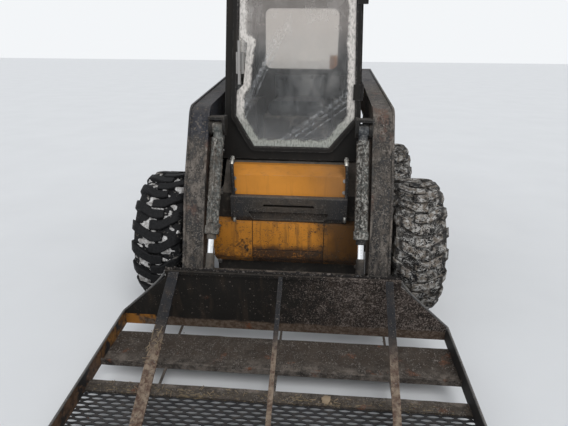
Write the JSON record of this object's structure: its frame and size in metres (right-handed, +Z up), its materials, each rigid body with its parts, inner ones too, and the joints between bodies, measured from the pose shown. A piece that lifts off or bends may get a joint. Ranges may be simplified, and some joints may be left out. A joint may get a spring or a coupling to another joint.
{
  "type": "skid steer loader with a low mesh tray",
  "caption": "Wheeled skid steer loader with radial lift arms, a closed cab with a swinging front door, and a low open mesh tray on the front coupler",
  "frame": {"origin": "on the ground, under the middle of the machine with its tray", "axes": "+Z up, the machine faces -Y with its tray, +X is its left side"},
  "size_m": [1.83, 3.6502, 2.1302],
  "materials": {
    "yellow_paint": "worn gloss paint with dirt",
    "frame_paint": "satin black paint with dust",
    "arm_paint": "dark blue-grey paint, dirty",
    "barrel_paint": "dark paint, oily dust",
    "rod_chrome": "polished",
    "bare_steel": "worn and dull",
    "tray_steel": "worn dark paint with rust",
    "axle_iron": "rough, dusty",
    "tyre_rubber": "worn, dusty",
    "rim_paint": "pale paint, dirty",
    "cab_glass": "dusty",
    "seat_vinyl": "grained vinyl",
    "console_plastic": "moulded",
    "lamp_clear": "clear lens in a black housing",
    "lamp_red": "red lens"
  },
  "bodies": {
    "root": {"main_frame": "frame_paint", "rear_uprights": "yellow_paint", "front_panel": "yellow_paint", "front_step": "frame_paint", "front_cover": "yellow_paint", "axle_housings": "axle_iron", "engine_block": "axle_iron", "engine_hood": "yellow_paint", "rear_bumper": "frame_paint", "tail_lamps": "lamp_red", "cab_frame": "frame_paint", "cab_roof": "frame_paint", "cab_floor": "frame_paint", "side_windows": "cab_glass", "side_screens": "frame_paint", "rear_window": "cab_glass", "seat_cushion": "seat_vinyl", "seat_back": "seat_vinyl", "control_consoles": "console_plastic", "work_lamps": "lamp_clear"},
    "front_door": {"door_frame": "frame_paint", "door_glass": "cab_glass", "door_latch": "bare_steel"},
    "rear_door": {"rear_door": "yellow_paint"},
    "lift_arms": {"lift_arms": "arm_paint", "tilt_brackets": "arm_paint"},
    "coupler": {"coupler": "arm_paint", "coupler_levers": "bare_steel", "tray_back": "tray_steel", "tray_sides": "tray_steel", "tray_floor": "tray_steel", "tray_mesh": "bare_steel", "tray_bars": "tray_steel"},
    "wheel_front_left": {"tyre_front_left": "tyre_rubber", "rim_front_left": "rim_paint"},
    "wheel_front_right": {"tyre_front_right": "tyre_rubber", "rim_front_right": "rim_paint"},
    "wheel_rear_left": {"tyre_rear_left": "tyre_rubber", "rim_rear_left": "rim_paint"},
    "wheel_rear_right": {"tyre_rear_right": "tyre_rubber", "rim_rear_right": "rim_paint"},
    "lift_barrel_left": {"lift_barrel_left": "barrel_paint"},
    "lift_rod_left": {"lift_rod_left": "rod_chrome"},
    "lift_barrel_right": {"lift_barrel_right": "barrel_paint"},
    "lift_rod_right": {"lift_rod_right": "rod_chrome"},
    "tilt_barrel_left": {"tilt_barrel_left": "barrel_paint"},
    "tilt_rod_left": {"tilt_rod_left": "rod_chrome"},
    "tilt_barrel_right": {"tilt_barrel_right": "barrel_paint"},
    "tilt_rod_right": {"tilt_rod_right": "rod_chrome"}
  },
  "joints": [
    {"name": "wheel_front_left_spin", "type": "hinge", "parent": "root", "child": "wheel_front_left", "pos_m": [0.761, -0.28518, 0.42], "axis": [1, 0, 0], "continuous": true},
    {"name": "wheel_front_right_spin", "type": "hinge", "parent": "root", "child": "wheel_front_right", "pos_m": [-0.761, -0.28518, 0.42], "axis": [1, 0, 0], "continuous": true},
    {"name": "wheel_rear_left_spin", "type": "hinge", "parent": "root", "child": "wheel_rear_left", "pos_m": [0.761, 0.84482, 0.42], "axis": [1, 0, 0], "continuous": true},
    {"name": "wheel_rear_right_spin", "type": "hinge", "parent": "root", "child": "wheel_rear_right", "pos_m": [-0.761, 0.84482, 0.42], "axis": [1, 0, 0], "continuous": true},
    {"name": "lift", "type": "hinge", "parent": "root", "child": "lift_arms", "pos_m": [0, 1.11482, 1.34], "axis": [-1, 0, 0], "range_deg": [0, 78]},
    {"name": "tilt", "type": "hinge", "parent": "lift_arms", "child": "coupler", "pos_m": [0, -0.74518, 0.26], "axis": [1, 0, 0], "range_deg": [-25, 100]},
    {"name": "front_door", "type": "hinge", "parent": "root", "child": "front_door", "pos_m": [0.405, -0.2714, 1.55239], "axis": [0, 0.0874, 0.9962], "range_deg": [0, 65]},
    {"name": "rear_door", "type": "hinge", "parent": "root", "child": "rear_door", "pos_m": [0.383, 1.65082, 0.75], "axis": [0, 0, -1], "range_deg": [0, 100]},
    {"name": "lift_barrel_left_swing", "type": "hinge", "parent": "root", "child": "lift_barrel_left", "pos_m": [0.525, 0.91482, 0.61], "axis": [-1, 0, 0], "range_deg": [0, 51.2]},
    {"name": "lift_rod_left_slide", "type": "slide", "parent": "lift_barrel_left", "child": "lift_rod_left", "axis": [0, -0.8352, 0.55], "range_m": [0, 0.7717]},
    {"name": "tilt_barrel_left_swing", "type": "hinge", "parent": "lift_arms", "child": "tilt_barrel_left", "pos_m": [0.415, -0.43518, 1.16], "axis": [1, 0, 0], "range_deg": [-0.53, 0.6]},
    {"name": "tilt_rod_left_slide", "type": "slide", "parent": "tilt_barrel_left", "child": "tilt_rod_left", "axis": [0, -0.452, -0.892], "range_m": [-0.0577, 0.2276]},
    {"name": "lift_barrel_right_swing", "type": "hinge", "parent": "root", "child": "lift_barrel_right", "pos_m": [-0.525, 0.91482, 0.61], "axis": [-1, 0, 0], "range_deg": [0, 51.2]},
    {"name": "lift_rod_right_slide", "type": "slide", "parent": "lift_barrel_right", "child": "lift_rod_right", "axis": [0, -0.8352, 0.55], "range_m": [0, 0.7717]},
    {"name": "tilt_barrel_right_swing", "type": "hinge", "parent": "lift_arms", "child": "tilt_barrel_right", "pos_m": [-0.415, -0.43518, 1.16], "axis": [1, 0, 0], "range_deg": [-0.53, 0.6]},
    {"name": "tilt_rod_right_slide", "type": "slide", "parent": "tilt_barrel_right", "child": "tilt_rod_right", "axis": [0, -0.452, -0.892], "range_m": [-0.0577, 0.2276]}
  ],
  "couplings": [
    {"joint": "lift_barrel_left_swing", "follows": "lift", "ratio": 0.65},
    {"joint": "lift_rod_left_slide", "follows": "lift", "m_per_rad": 0.56615},
    {"joint": "tilt_barrel_left_swing", "follows": "tilt", "ratio": 0.001},
    {"joint": "tilt_rod_left_slide", "follows": "tilt", "m_per_rad": 0.12985},
    {"joint": "lift_barrel_right_swing", "follows": "lift", "ratio": 0.65},
    {"joint": "lift_rod_right_slide", "follows": "lift", "m_per_rad": 0.56615},
    {"joint": "tilt_barrel_right_swing", "follows": "tilt", "ratio": 0.001},
    {"joint": "tilt_rod_right_slide", "follows": "tilt", "m_per_rad": 0.12985}
  ]
}
